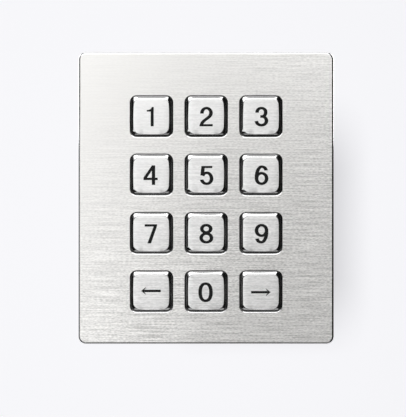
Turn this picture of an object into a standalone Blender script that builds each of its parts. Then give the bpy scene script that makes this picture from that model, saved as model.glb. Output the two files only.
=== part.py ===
"""Flush-mounted access keypad: a brushed steel plate with twelve push keys and a closed rear cover.

The keypad stands upright, as on a wall. Its front faces -Y, +Z is up, and the origin is the centre of the
panel's cut-out, in the plane where the back of the gasket meets the panel. Everything is in metres.
"""

import math

import bmesh
import bpy

MM = 0.001
REST_GAP = 0.3 * MM  # between pieces that touch on the real keypad

# Front plate, with the 3.5 by 4 inch outline of the keypad.
PLATE_WIDTH = 88.9 * MM
PLATE_HEIGHT = 101.6 * MM
PLATE_CORNER = 2.6 * MM
PLATE_THICKNESS = 2.0 * MM
PLATE_EDGE = 0.3 * MM

# Key grid. It sits a little below the middle of the plate.
COLUMN_PITCH = 19.05 * MM
ROW_PITCH = 20.32 * MM
GRID_DROP = 1.75 * MM
KEY_ROWS = (("1", "2", "3"), ("4", "5", "6"), ("7", "8", "9"), ("left", "0", "right"))
HOLE_WIDTH = 14.7 * MM
HOLE_HEIGHT = 14.35 * MM
HOLE_CORNER = 2.2 * MM

# A key is a solid steel cap on a nylon carrier, whose flange keeps it behind the plate.
KEY_CLEARANCE = 0.4 * MM
CAP_EDGE = 1.0 * MM
CAP_PROUD = 1.2 * MM
CAP_BORE_RADIUS = 2.5 * MM
CAP_BORE_DEPTH = 1.8 * MM
PIN_RADIUS = 2.2 * MM
FLANGE_LIP = 0.9 * MM
FLANGE_THICKNESS = 1.0 * MM
FLANGE_CORNER = 1.0 * MM
KEY_TRAVEL = 1.1 * MM

# Depths along Y of the layers, from the plate to the back. The gasket's back face is at zero.
GASKET_THICKNESS = 1.0 * MM
FRAME_THICKNESS = 2.5 * MM
MAT_THICKNESS = 1.0 * MM
BOARD_THICKNESS = 1.6 * MM
PLATE_BACK = -GASKET_THICKNESS - REST_GAP
PLATE_FRONT = PLATE_BACK - PLATE_THICKNESS
STACK_FRONT = PLATE_BACK + REST_GAP
FLANGE_BACK = STACK_FRONT + FLANGE_THICKNESS
FRAME_BACK = STACK_FRONT + FRAME_THICKNESS
MAT_FRONT = FRAME_BACK + REST_GAP
MAT_BACK = MAT_FRONT + MAT_THICKNESS
BOARD_FRONT = MAT_BACK + REST_GAP
BOARD_BACK = BOARD_FRONT + BOARD_THICKNESS
PARTS_FRONT = BOARD_BACK + REST_GAP

# Layers behind the plate, all cut to one outline and held on four studs.
STACK_WIDTH = 66.0 * MM
STACK_HEIGHT = 87.0 * MM
STACK_CORNER = 2.5 * MM
STUD_X = 29.6 * MM
STUD_Z = 40.2 * MM
STUD_RADIUS = 1.5 * MM
STUD_HOLE = 1.8 * MM
STUD_BACK = 9.0 * MM
STUD_TIP = 0.3  # of the radius, chamfered off the end of every stud

# Rear cover, which goes through the panel's cut-out.
COVER_WIDTH = 70.0 * MM
COVER_HEIGHT = 91.0 * MM
COVER_CORNER = 4.5 * MM
COVER_WALL = 1.7 * MM
COVER_FRONT = 0.1 * MM
COVER_BACK = 20.8 * MM
COVER_BACK_WALL = 2.0 * MM
COVER_EDGE = 1.2 * MM
BOSS_RADIUS = 4.0 * MM
BOSS_FRONT = 16.2 * MM
HEAD_POCKET_RADIUS = 3.2 * MM
HEAD_POCKET_DEPTH = 2.4 * MM
SEAL_THICKNESS = 0.7 * MM

# Gasket between plate and panel, and the four studs that pull the plate against it.
GASKET_INSET = 0.6 * MM
GASKET_INNER_GAP = 0.4 * MM
MOUNT_X = 40.0 * MM
MOUNT_Z = 40.0 * MM
MOUNT_RADIUS = 2.0 * MM
MOUNT_BACK = 12.0 * MM
MOUNT_HOLE = 2.9 * MM
PANEL_THICKNESS = 3.0 * MM
NUT_FLATS = 7.0 * MM
NUT_HEIGHT = 3.2 * MM

# Cover screws and the hexagonal standoffs that they go into.
SCREW_HEAD_RADIUS = 2.75 * MM
SCREW_HEAD_HEIGHT = 1.8 * MM
SCREW_RADIUS = 1.4 * MM
SCREW_FRONT = 10.5 * MM
SCREW_TIP = 0.5 * MM
SCREW_NARROWING = 0.7  # of the radius, at the screw's tip and on top of its head
HEAD_EDGE = 0.8 * MM
STANDOFF_FLATS = 5.0 * MM

# Rubber domes of the mat.
DOME_STEPS = 12
DOME_CROWN = 3.4 * MM
DOME_FOOT = 4.9 * MM
DOME_WALL = 0.6 * MM
CONTACT_RADIUS = 1.9 * MM

# Terminal block at the lower edge of the board, and the notch in the cover that shows it.
POLES = 8
POLE_PITCH = 3.81 * MM
BLOCK_END_WALL = 0.6 * MM
BLOCK_WIDTH = POLES * POLE_PITCH + 2 * BLOCK_END_WALL
BLOCK_HEIGHT = 9.6 * MM
BLOCK_DEPTH = 11.0 * MM
BLOCK_Z = -38.2 * MM
WIRE_HOLE = 2.6 * MM
WIRE_HOLE_DEPTH = 4.5 * MM
WIRE_HOLE_RISE = 3.6 * MM  # from the block's foot to the middle of its wire holes
SCREW_WELL = 1.35 * MM
SCREW_WELL_DEPTH = 3.0 * MM
SCREW_WELL_Z = BLOCK_Z - 0.6 * MM
NOTCH_GAP = 0.6 * MM
NOTCH_FRONT = 6.5 * MM

# Tamper switch on the board, and the plunger that the wall behind the keypad holds pressed.
TAMPER_X = -21.0 * MM
TAMPER_Z = 27.0 * MM
SWITCH_SIZE = 8.0 * MM
SWITCH_DEPTH = 7.5 * MM
SWITCH_BORE_DEPTH = 4.5 * MM
TAMPER_STEM = 1.1 * MM
TAMPER_RADIUS = 1.75 * MM
TAMPER_FLANGE = 3.0 * MM
TAMPER_FLANGE_THICKNESS = 1.0 * MM
TAMPER_CLEARANCE = 0.35 * MM
TAMPER_TIP = 0.6 * MM
TAMPER_TIP_NARROWING = 0.6
TAMPER_TRAVEL = 1.5 * MM
TAMPER_BACK = COVER_BACK + 2.0 * MM

# Components on the board: place of the middle as (x, z), and size. A round one has its radius and depth.
CHIP_PLACE = (0.0, -2.0 * MM)
CHIP_SIZE = (10.0 * MM, 1.4 * MM, 10.0 * MM)
RELAY_PLACE = (21.0 * MM, -16.0 * MM)
RELAY_SIZE = (15.4 * MM, 10.5 * MM, 19.0 * MM)
BUZZER_PLACE = (20.0 * MM, 20.0 * MM)
BUZZER_SIZE = (6.0 * MM, 7.5 * MM)
CAPACITOR_PLACE = (-22.0 * MM, -18.0 * MM)
CAPACITOR_SIZE = (4.0 * MM, 10.0 * MM)
CAN_EDGE = 0.4 * MM

CORNER_STEPS = 4
INNER_CORNER_STEPS = 2
ROUND_STEPS = 16
STUD_STEPS = 12
OVERCUT = 5.0 * MM  # how far a cutter runs past the face that it opens

STEEL = ("brushed_steel", (0.76, 0.76, 0.75), 0.32, 1.0)
PLATED = ("plated_steel", (0.62, 0.63, 0.64), 0.35, 1.0)
RUBBER = ("black_rubber", (0.02, 0.02, 0.02), 0.8, 0.0)
SILICONE = ("grey_silicone", (0.09, 0.09, 0.1), 0.6, 0.0)
NYLON = ("black_nylon", (0.02, 0.02, 0.022), 0.5, 0.0)
PLASTIC = ("black_plastic", (0.03, 0.03, 0.032), 0.55, 0.0)
LAMINATE = ("green_laminate", (0.02, 0.16, 0.06), 0.35, 0.0)
TERMINAL_PLASTIC = ("terminal_green", (0.03, 0.3, 0.1), 0.45, 0.0)
CHIP_PLASTIC = ("chip_black", (0.03, 0.03, 0.03), 0.6, 0.0)
RELAY_PLASTIC = ("relay_blue", (0.03, 0.12, 0.4), 0.4, 0.0)
SLEEVE = ("capacitor_sleeve", (0.03, 0.03, 0.07), 0.35, 0.0)


def new_collection(name, is_helper=False):
    """A collection in the scene. A helper collection holds the cutters."""
    made = bpy.data.collections.new(name)
    made.hide_render = is_helper
    bpy.context.scene.collection.children.link(made)
    return made


def link(name, data, place=(0, 0, 0)):
    """A new object in the keypad's collection."""
    made = bpy.data.objects.new(name, data)
    made.location = place
    KEYPAD.objects.link(made)
    return made


def paint(part, finish):
    """Gives the part its plain material."""
    name, colour, roughness, metallic = finish
    material = bpy.data.materials.get(name)
    if material is None:
        material = bpy.data.materials.new(name)
        material.use_nodes = True
        shader = material.node_tree.nodes["Principled BSDF"]
        shader.inputs["Base Color"].default_value = (*colour, 1.0)
        shader.inputs["Roughness"].default_value = roughness
        shader.inputs["Metallic"].default_value = metallic
    part.data.materials.clear()
    part.data.materials.append(material)
    return part


def as_mesh(part):
    """The part as a plain mesh in the same place: modifiers applied, seams welded, faces pointing out."""
    bpy.context.view_layer.update()
    name = part.name
    place = part.matrix_world.copy()
    graph = bpy.context.evaluated_depsgraph_get()
    mesh = bpy.data.meshes.new_from_object(part.evaluated_get(graph))
    bpy.data.objects.remove(part)
    faces = bmesh.new()
    faces.from_mesh(mesh)
    bmesh.ops.remove_doubles(faces, verts=faces.verts, dist=0.001 * MM)
    bmesh.ops.recalc_face_normals(faces, faces=faces.faces)
    faces.to_mesh(mesh)
    faces.free()
    made = link(name, mesh)
    made.matrix_world = place
    return made


def smooth(part):
    """Shades a round part smooth, with its hard edges kept."""
    made = as_mesh(part)
    made.data.shade_smooth()
    made.data.set_sharp_from_angle(angle=math.radians(35))
    return made


def rounded_rectangle(width, height, radius, centre=(0, 0), steps=CORNER_STEPS):
    """Points, as (x, z), of a rectangle with round corners."""
    points = []
    for side_x, side_z, start in ((1, 1, 0), (-1, 1, 90), (-1, -1, 180), (1, -1, 270)):
        corner_x = centre[0] + side_x * (width / 2 - radius)
        corner_z = centre[1] + side_z * (height / 2 - radius)
        for step in range(steps + 1):
            angle = math.radians(start + 90 * step / steps)
            points.append((corner_x + radius * math.cos(angle), corner_z + radius * math.sin(angle)))
    return points


def regular_polygon(radius, sides, centre=(0, 0)):
    """Points, as (x, z), of a hexagon, or of a circle if it has many sides."""
    turns = (2 * math.pi * side / sides for side in range(sides))
    return [(centre[0] + radius * math.cos(turn), centre[1] + radius * math.sin(turn)) for turn in turns]


def sheet(name, outlines, front, back, finish, edge=0.0):
    """A flat part between two depths, cut to the first outline, with the others as its holes."""
    curve = bpy.data.curves.new(name, "CURVE")
    curve.dimensions = "2D"
    curve.fill_mode = "BOTH"
    curve.extrude = (back - front) / 2 - edge
    curve.bevel_depth = edge
    curve.bevel_resolution = 0
    curve.offset = -edge
    for index, points in enumerate(outlines):
        # A hole runs the other way round, so that a rounded edge leans the right way.
        ordered = points if index == 0 else points[::-1]
        spline = curve.splines.new("POLY")
        spline.points.add(len(ordered) - 1)
        for point, (x, z) in zip(spline.points, ordered):
            point.co = (x, z, 0, 1)
        spline.use_cyclic_u = True
    part = link(name, curve, (0, (front + back) / 2, 0))
    part.rotation_euler.x = math.pi / 2
    return paint(part, finish)


def block_mesh(name, size, corner=0.0, back_edge=0.0, front_edge=0.0, steps=CORNER_STEPS):
    """A box around the origin with rounded upright corners, and rounded edges at its front or back."""
    width, depth, height = size
    box = bmesh.new()
    bmesh.ops.create_cube(box, size=1.0)
    bmesh.ops.scale(box, verts=box.verts, vec=(width, depth, height))
    if corner:
        upright = [e for e in box.edges if abs(e.verts[0].co.y - e.verts[1].co.y) > depth / 2]
        bmesh.ops.bevel(box, geom=upright, offset=corner, segments=steps, profile=0.5, affect="EDGES")
    for side, radius in ((-1, front_edge), (1, back_edge)):
        if radius:
            plane = side * depth / 2
            rim = [e for e in box.edges if all(abs(v.co.y - plane) < 0.01 * MM for v in e.verts)]
            bmesh.ops.bevel(box, geom=rim, offset=radius, segments=2, profile=0.5, affect="EDGES")
    mesh = bpy.data.meshes.new(name)
    box.to_mesh(mesh)
    box.free()
    return mesh


def block(name, low, high, finish, **shape):
    """A box from its lowest to its highest corner."""
    size = [b - a for a, b in zip(low, high)]
    middle = [(a + b) / 2 for a, b in zip(low, high)]
    return paint(link(name, block_mesh(name, size, **shape), middle), finish)


def turned(name, profile, place, finish, steps=ROUND_STEPS):
    """A round part about a Y axis at (x, z), from its (radius, depth) profile, front to back."""
    mesh = bpy.data.meshes.new(name)
    points = [(radius, depth, 0) for radius, depth in reversed(profile)]
    mesh.from_pydata(points, [(i, i + 1) for i in range(len(points) - 1)], [])
    part = link(name, mesh, (place[0], 0, place[1]))
    screw = part.modifiers.new("turn", "SCREW")
    screw.axis = "Y"
    screw.steps = screw.render_steps = steps
    screw.use_merge_vertices = True
    screw.merge_threshold = 0.01 * MM
    return as_mesh(paint(part, finish))


def rod(name, radius, front, back, place, finish, steps=ROUND_STEPS):
    """A plain round bar along Y, or the cutter of a plain bore."""
    return turned(name, ((0, front), (radius, front), (radius, back), (0, back)), place, finish, steps)


def combine(part, other, operation):
    """Cuts the other part out of this one, or joins it to this one, and makes the other a helper."""
    boolean = part.modifiers.new(operation.lower(), "BOOLEAN")
    boolean.operation = operation
    boolean.object = other
    KEYPAD.objects.unlink(other)
    HELPERS.objects.link(other)
    other.hide_render = True
    other.display_type = "WIRE"
    return part


def key_places():
    """Name and centre (x, z) of each key, from the top left."""
    for row, names in enumerate(KEY_ROWS):
        for column, name in enumerate(names):
            x = (column - 1) * COLUMN_PITCH
            z = -GRID_DROP + (1.5 - row) * ROW_PITCH
            yield name, (x, z)


def corner_places(x, z):
    """The four places (x, z) around the middle, from the top left, clockwise."""
    return [(-x, z), (x, z), (x, -z), (-x, -z)]


def stack_sheet(name, front, back, finish, openings=()):
    """A layer behind the plate: the common outline, the four stud holes and its own openings."""
    outlines = [rounded_rectangle(STACK_WIDTH, STACK_HEIGHT, STACK_CORNER)]
    outlines += [regular_polygon(STUD_HOLE, STUD_STEPS, place) for place in corner_places(STUD_X, STUD_Z)]
    return sheet(name, outlines + list(openings), front, back, finish)


def make_plate():
    outlines = [rounded_rectangle(PLATE_WIDTH, PLATE_HEIGHT, PLATE_CORNER)]
    for _, centre in key_places():
        outlines.append(rounded_rectangle(HOLE_WIDTH, HOLE_HEIGHT, HOLE_CORNER, centre))
    smooth(sheet("front_plate", outlines, PLATE_FRONT, PLATE_BACK, STEEL, PLATE_EDGE))


def make_gasket():
    outer = rounded_rectangle(
        PLATE_WIDTH - 2 * GASKET_INSET, PLATE_HEIGHT - 2 * GASKET_INSET, PLATE_CORNER - GASKET_INSET
    )
    inner = rounded_rectangle(
        COVER_WIDTH + 2 * GASKET_INNER_GAP, COVER_HEIGHT + 2 * GASKET_INNER_GAP, COVER_CORNER
    )
    holes = [regular_polygon(MOUNT_HOLE, STUD_STEPS, place) for place in corner_places(MOUNT_X, MOUNT_Z)]
    sheet("panel_gasket", [outer, inner, *holes], -GASKET_THICKNESS, 0.0, RUBBER)


def make_studs():
    """Weld studs on the back of the plate: four for the panel, and four for the layers behind the keys."""
    groups = (
        ("mounting_stud", MOUNT_X, MOUNT_Z, MOUNT_RADIUS, MOUNT_BACK),
        ("frame_stud", STUD_X, STUD_Z, STUD_RADIUS, STUD_BACK),
    )
    for name, x, z, radius, back in groups:
        tip = STUD_TIP * radius
        profile = (
            (0, STACK_FRONT),
            (radius, STACK_FRONT),
            (radius, back - tip),
            (radius - tip, back),
            (0, back),
        )
        for number, place in enumerate(corner_places(x, z), start=1):
            smooth(turned(f"{name}_{number}", profile, place, PLATED, STUD_STEPS))


def make_nuts():
    """Hexagon nuts on the mounting studs, where they meet the back of the panel."""
    front = PANEL_THICKNESS + REST_GAP
    for number, place in enumerate(corner_places(MOUNT_X, MOUNT_Z), start=1):
        outer = regular_polygon(NUT_FLATS / math.sqrt(3), 6, place)
        bore = regular_polygon(MOUNT_RADIUS + REST_GAP, STUD_STEPS, place)
        sheet(f"mounting_nut_{number}", [outer, bore], front, front + NUT_HEIGHT, PLATED)


def make_cap():
    """A solid steel cap, with a blind hole in its back for the carrier's pin."""
    front = PLATE_FRONT - CAP_PROUD
    half_width = HOLE_WIDTH / 2 - KEY_CLEARANCE
    half_height = HOLE_HEIGHT / 2 - KEY_CLEARANCE
    cap = block(
        "key_cap",
        (-half_width, front, -half_height),
        (half_width, PLATE_BACK, half_height),
        STEEL,
        corner=HOLE_CORNER - KEY_CLEARANCE,
        front_edge=CAP_EDGE,
    )
    bore_front = PLATE_BACK - CAP_BORE_DEPTH
    bore = rod("cap_bore", CAP_BORE_RADIUS, bore_front, PLATE_BACK + OVERCUT, (0, 0), STEEL, STUD_STEPS)
    return smooth(combine(cap, bore, "DIFFERENCE"))


def make_carrier():
    """A nylon carrier: the pin that holds the cap, and the flange that stays behind the plate."""
    half_width = HOLE_WIDTH / 2 + FLANGE_LIP
    half_height = HOLE_HEIGHT / 2 + FLANGE_LIP
    carrier = block(
        "key_carrier",
        (-half_width, STACK_FRONT, -half_height),
        (half_width, FLANGE_BACK, half_height),
        NYLON,
        corner=FLANGE_CORNER,
        steps=INNER_CORNER_STEPS,
    )
    pin_front = PLATE_BACK - CAP_BORE_DEPTH + REST_GAP
    pin_back = (STACK_FRONT + FLANGE_BACK) / 2
    pin = rod("carrier_pin", PIN_RADIUS, pin_front, pin_back, (0, 0), NYLON, STUD_STEPS)
    return smooth(combine(carrier, pin, "UNION"))


def make_keys():
    """Twelve keys, each on an empty that stands on the axis the key slides along."""
    patterns = (make_cap(), make_carrier())
    for name, (x, z) in key_places():
        axis = link(f"axis_key_{name}", None, (x, 0, z))
        for pattern in patterns:
            link(f"{pattern.name}_{name}", pattern.data, pattern.location).parent = axis
    for pattern in patterns:
        bpy.data.objects.remove(pattern)


def make_frame():
    """Guide frame, in whose openings the key flanges slide."""
    width = HOLE_WIDTH + 2 * (FLANGE_LIP + REST_GAP)
    height = HOLE_HEIGHT + 2 * (FLANGE_LIP + REST_GAP)
    openings = [
        rounded_rectangle(width, height, FLANGE_CORNER, centre, INNER_CORNER_STEPS)
        for _, centre in key_places()
    ]
    stack_sheet("key_frame", STACK_FRONT, FRAME_BACK, PLASTIC, openings)


def make_mat():
    """Silicone mat with a hollow spring dome, and a contact inside it, under every key."""
    mat = as_mesh(stack_sheet("silicone_mat", MAT_FRONT, MAT_BACK, SILICONE))
    crown = FLANGE_BACK + REST_GAP
    foot = MAT_FRONT + REST_GAP
    dome_profile = ((0, crown), (DOME_CROWN, crown), (DOME_FOOT, foot), (0, foot))
    ceiling = crown + DOME_WALL
    contact = BOARD_FRONT - KEY_TRAVEL
    hollow_profile = (
        (0, contact),
        (CONTACT_RADIUS, contact),
        (CONTACT_RADIUS, ceiling),
        (DOME_CROWN - DOME_WALL / 2, ceiling),
        (DOME_FOOT - DOME_WALL, MAT_BACK),
        (DOME_FOOT - DOME_WALL, MAT_BACK + OVERCUT),
        (0, MAT_BACK + OVERCUT),
    )
    for name, centre in key_places():
        dome = turned(f"dome_{name}", dome_profile, centre, SILICONE, DOME_STEPS)
        combine(mat, dome, "UNION")
        hollow = turned(f"hollow_{name}", hollow_profile, centre, SILICONE, DOME_STEPS)
        combine(mat, hollow, "DIFFERENCE")


def make_board():
    stack_sheet("circuit_board", BOARD_FRONT, BOARD_BACK, LAMINATE)


def make_standoffs():
    """Hexagonal standoffs. They clamp the board, and the cover screws go into their far ends."""
    for number, place in enumerate(corner_places(STUD_X, STUD_Z), start=1):
        outer = regular_polygon(STANDOFF_FLATS / math.sqrt(3), 6, place)
        bore = regular_polygon(STUD_HOLE, STUD_STEPS, place)
        sheet(f"standoff_{number}", [outer, bore], PARTS_FRONT, BOSS_FRONT - REST_GAP, PLATED)


def make_cover():
    """Rear cover with a boss for each screw, the terminal notch and the hole of the tamper plunger."""
    half_width, half_height = COVER_WIDTH / 2, COVER_HEIGHT / 2
    cover = block(
        "rear_cover",
        (-half_width, COVER_FRONT, -half_height),
        (half_width, COVER_BACK, half_height),
        PLASTIC,
        corner=COVER_CORNER,
        back_edge=COVER_EDGE,
    )
    inner_x, inner_z = half_width - COVER_WALL, half_height - COVER_WALL
    cavity_low = (-inner_x, COVER_FRONT - OVERCUT, -inner_z)
    cavity_high = (inner_x, COVER_BACK - COVER_BACK_WALL, inner_z)
    cavity = block("cavity", cavity_low, cavity_high, PLASTIC, corner=COVER_CORNER - COVER_WALL)
    combine(cover, cavity, "DIFFERENCE")
    pocket_front = COVER_BACK - HEAD_POCKET_DEPTH
    hole_profile = (
        (0, BOSS_FRONT - OVERCUT),
        (STUD_HOLE, BOSS_FRONT - OVERCUT),
        (STUD_HOLE, pocket_front),
        (HEAD_POCKET_RADIUS, pocket_front),
        (HEAD_POCKET_RADIUS, COVER_BACK + OVERCUT),
        (0, COVER_BACK + OVERCUT),
    )
    for number, place in enumerate(corner_places(STUD_X, STUD_Z), start=1):
        boss_back = COVER_BACK - COVER_BACK_WALL / 2
        combine(cover, rod(f"boss_{number}", BOSS_RADIUS, BOSS_FRONT, boss_back, place, PLASTIC), "UNION")
        combine(cover, turned(f"screw_hole_{number}", hole_profile, place, PLASTIC), "DIFFERENCE")
    notch_x = BLOCK_WIDTH / 2 + NOTCH_GAP
    notch_low = (-notch_x, NOTCH_FRONT, -half_height - OVERCUT)
    notch_high = (notch_x, COVER_BACK + OVERCUT, BLOCK_Z + BLOCK_HEIGHT / 2 + NOTCH_GAP)
    combine(cover, block("notch", notch_low, notch_high, PLASTIC), "DIFFERENCE")
    place = (TAMPER_X, TAMPER_Z)
    bore_radius = TAMPER_RADIUS + TAMPER_CLEARANCE
    bore_ends = (COVER_BACK - OVERCUT, COVER_BACK + OVERCUT)
    combine(cover, rod("tamper_bore", bore_radius, *bore_ends, place, PLASTIC), "DIFFERENCE")
    smooth(cover)


def make_cover_seal():
    """Rubber ring between the cover's rim and the plate."""
    outer = rounded_rectangle(COVER_WIDTH, COVER_HEIGHT, COVER_CORNER)
    inner = rounded_rectangle(
        COVER_WIDTH - 2 * COVER_WALL, COVER_HEIGHT - 2 * COVER_WALL, COVER_CORNER - COVER_WALL
    )
    sheet("cover_seal", [outer, inner], STACK_FRONT, STACK_FRONT + SEAL_THICKNESS, RUBBER)


def make_cover_screws():
    seat = COVER_BACK - HEAD_POCKET_DEPTH + REST_GAP
    top = seat + SCREW_HEAD_HEIGHT
    profile = (
        (0, SCREW_FRONT),
        (SCREW_NARROWING * SCREW_RADIUS, SCREW_FRONT),
        (SCREW_RADIUS, SCREW_FRONT + SCREW_TIP),
        (SCREW_RADIUS, seat),
        (SCREW_HEAD_RADIUS, seat),
        (SCREW_HEAD_RADIUS, top - HEAD_EDGE),
        (SCREW_NARROWING * SCREW_HEAD_RADIUS, top),
        (0, top),
    )
    for number, place in enumerate(corner_places(STUD_X, STUD_Z), start=1):
        smooth(turned(f"cover_screw_{number}", profile, place, PLATED, STUD_STEPS))


def make_terminal_block():
    """Screw terminals: wires go in from below, and the clamp screws are reached from the back."""
    back = PARTS_FRONT + BLOCK_DEPTH
    bottom = BLOCK_Z - BLOCK_HEIGHT / 2
    terminals = block(
        "terminal_block",
        (-BLOCK_WIDTH / 2, PARTS_FRONT, bottom),
        (BLOCK_WIDTH / 2, back, BLOCK_Z + BLOCK_HEIGHT / 2),
        TERMINAL_PLASTIC,
    )
    half = WIRE_HOLE / 2
    wire_y = PARTS_FRONT + WIRE_HOLE_RISE
    for pole in range(POLES):
        x = (pole - (POLES - 1) / 2) * POLE_PITCH
        wire_low = (x - half, wire_y - half, bottom - OVERCUT)
        wire_high = (x + half, wire_y + half, bottom + WIRE_HOLE_DEPTH)
        wire_hole = block(f"wire_hole_{pole}", wire_low, wire_high, TERMINAL_PLASTIC)
        combine(terminals, wire_hole, "DIFFERENCE")
        ends = (back - SCREW_WELL_DEPTH, back + OVERCUT)
        place = (x, SCREW_WELL_Z)
        well = rod(f"screw_well_{pole}", SCREW_WELL, *ends, place, TERMINAL_PLASTIC, STUD_STEPS)
        combine(terminals, well, "DIFFERENCE")


def round_component(name, place, size, finish):
    """A can or sounder that stands on the board."""
    radius, depth = size
    back = PARTS_FRONT + depth
    profile = (
        (0, PARTS_FRONT),
        (radius, PARTS_FRONT),
        (radius, back - CAN_EDGE),
        (radius - CAN_EDGE, back),
        (0, back),
    )
    smooth(turned(name, profile, place, finish))


def box_component(name, place, size, finish):
    """A chip, relay or switch that lies on the board."""
    width, depth, height = size
    low = (place[0] - width / 2, PARTS_FRONT, place[1] - height / 2)
    high = (place[0] + width / 2, PARTS_FRONT + depth, place[1] + height / 2)
    return block(name, low, high, finish)


def make_electronics():
    box_component("controller_chip", CHIP_PLACE, CHIP_SIZE, CHIP_PLASTIC)
    box_component("lock_relay", RELAY_PLACE, RELAY_SIZE, RELAY_PLASTIC)
    round_component("buzzer", BUZZER_PLACE, BUZZER_SIZE, CHIP_PLASTIC)
    round_component("capacitor", CAPACITOR_PLACE, CAPACITOR_SIZE, SLEEVE)


def make_tamper():
    """Tamper switch, and its plunger, kept in by a flange inside the cover."""
    place = (TAMPER_X, TAMPER_Z)
    switch_back = PARTS_FRONT + SWITCH_DEPTH
    bore_front = switch_back - SWITCH_BORE_DEPTH
    size = (SWITCH_SIZE, SWITCH_DEPTH, SWITCH_SIZE)
    switch = box_component("tamper_switch", place, size, CHIP_PLASTIC)
    bore_radius = TAMPER_STEM + TAMPER_CLEARANCE
    bore = rod("switch_bore", bore_radius, bore_front, switch_back + OVERCUT, place, CHIP_PLASTIC)
    combine(switch, bore, "DIFFERENCE")

    stem_front = bore_front + TAMPER_TRAVEL + REST_GAP
    flange_back = COVER_BACK - COVER_BACK_WALL - REST_GAP
    flange_front = flange_back - TAMPER_FLANGE_THICKNESS
    profile = (
        (0, stem_front),
        (TAMPER_STEM, stem_front),
        (TAMPER_STEM, flange_front),
        (TAMPER_FLANGE, flange_front),
        (TAMPER_FLANGE, flange_back),
        (TAMPER_RADIUS, flange_back),
        (TAMPER_RADIUS, TAMPER_BACK - TAMPER_TIP),
        (TAMPER_TIP_NARROWING * TAMPER_RADIUS, TAMPER_BACK),
        (0, TAMPER_BACK),
    )
    axis = link("axis_tamper", None, (TAMPER_X, 0, TAMPER_Z))
    smooth(turned("tamper_plunger", profile, (0, 0), NYLON)).parent = axis


for old in list(bpy.data.objects):
    bpy.data.objects.remove(old)
KEYPAD = new_collection("access_keypad")
HELPERS = new_collection("helpers", is_helper=True)

make_plate()
make_gasket()
make_studs()
make_nuts()
make_keys()
make_frame()
make_mat()
make_board()
make_standoffs()
make_cover()
make_cover_seal()
make_cover_screws()
make_terminal_block()
make_electronics()
make_tamper()
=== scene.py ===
"""Looks of the flush-mounted access keypad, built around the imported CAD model.

The CAD nodes that show, or that would look plain, are replaced by finer pieces in the same places. The
others keep their shape, with broken edges and a procedural material. Everything is in metres, and the
front faces -Y. Places on the keypad's front are given as (x, z), and depths along Y.
"""

import math
import random

import bmesh
import bpy
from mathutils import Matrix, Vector
from mathutils.geometry import delaunay_2d_cdt, tessellate_polygon


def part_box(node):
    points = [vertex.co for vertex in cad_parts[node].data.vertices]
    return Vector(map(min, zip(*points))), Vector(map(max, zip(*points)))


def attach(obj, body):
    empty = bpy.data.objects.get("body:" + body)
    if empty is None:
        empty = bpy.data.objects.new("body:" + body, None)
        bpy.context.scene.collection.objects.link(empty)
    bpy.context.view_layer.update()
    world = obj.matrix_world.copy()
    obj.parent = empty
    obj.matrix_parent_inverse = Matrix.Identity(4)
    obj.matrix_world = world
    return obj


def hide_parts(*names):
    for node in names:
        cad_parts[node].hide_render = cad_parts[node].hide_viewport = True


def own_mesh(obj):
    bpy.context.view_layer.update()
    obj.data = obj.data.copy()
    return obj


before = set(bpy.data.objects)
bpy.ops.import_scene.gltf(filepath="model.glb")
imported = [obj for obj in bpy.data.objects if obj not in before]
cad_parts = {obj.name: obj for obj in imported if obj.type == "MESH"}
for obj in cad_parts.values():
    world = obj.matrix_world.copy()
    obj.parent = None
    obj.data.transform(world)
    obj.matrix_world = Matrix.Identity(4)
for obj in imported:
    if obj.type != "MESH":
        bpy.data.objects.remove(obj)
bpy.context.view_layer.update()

MM = 0.001
WELD = 0.0005 * MM  # vertices closer than this become one
SMALLEST_CORNER = 0.01 * MM
SHARP = 35  # an edge stays hard where its faces differ by more than these degrees
BROKEN = 50  # a softened part's edges are broken beyond these degrees
KEY_NAMES = ("1", "2", "3", "4", "5", "6", "7", "8", "9", "left", "0", "right")
CORNERS = (1, 2, 3, 4)


# ---- places from the frame


def middle(node):
    """Centre (x, z) of a CAD node."""
    low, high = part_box(node)
    return (low.x + high.x) / 2, (low.z + high.z) / 2


def span(node):
    """Front and back depth of a CAD node."""
    low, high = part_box(node)
    return low.y, high.y


def size(node):
    """Width and height of a CAD node."""
    low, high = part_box(node)
    return high.x - low.x, high.z - low.z


# ---- outlines


def around(centre, reach, angle):
    """The point (x, z) at a distance and an angle from the centre."""
    return centre[0] + reach * math.cos(angle), centre[1] + reach * math.sin(angle)


def rounded(width, height, radius, centre=(0, 0), steps=8):
    """The outline of a rectangle with round corners, as a function from an inset to its points (x, z)."""

    def points(inset=0.0):
        found = []
        corner = max(radius - inset, SMALLEST_CORNER)
        for side_x, side_z, start in ((1, 1, 0), (-1, 1, 90), (-1, -1, 180), (1, -1, 270)):
            corner_x = centre[0] + side_x * (width / 2 - inset - corner)
            corner_z = centre[1] + side_z * (height / 2 - inset - corner)
            for step in range(steps + 1):
                angle = math.radians(start + 90 * step / steps)
                found.append(around((corner_x, corner_z), corner, angle))
        return found

    return points


def polygon(radius, sides, centre):
    """The outline of a regular polygon, or of a circle if it has many sides."""

    def points(inset=0.0):
        return [around(centre, radius - inset, 2 * math.pi * index / sides) for index in range(sides)]

    return points


def side(front, back, front_round, back_round, steps):
    """(inset, depth) down the side of a flat part, from front to back, with round edges."""
    found = []
    for step in range(steps + 1 if front_round else 1):
        angle = math.pi / 2 * step / steps
        found.append((front_round * (1 - math.sin(angle)), front + front_round * (1 - math.cos(angle))))
    for step in range(steps + 1 if back_round else 1):
        angle = math.pi / 2 * step / steps
        found.append((back_round * (1 - math.cos(angle)), back - back_round * (1 - math.sin(angle))))
    return found


def dome(radius, height, back, angles):
    """(radius, depth) where a round part curves in to its back, at angles up from its side."""
    return [(radius * math.cos(angle), back - height * (1 - math.sin(angle))) for angle in angles]


# ---- bodies


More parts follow.
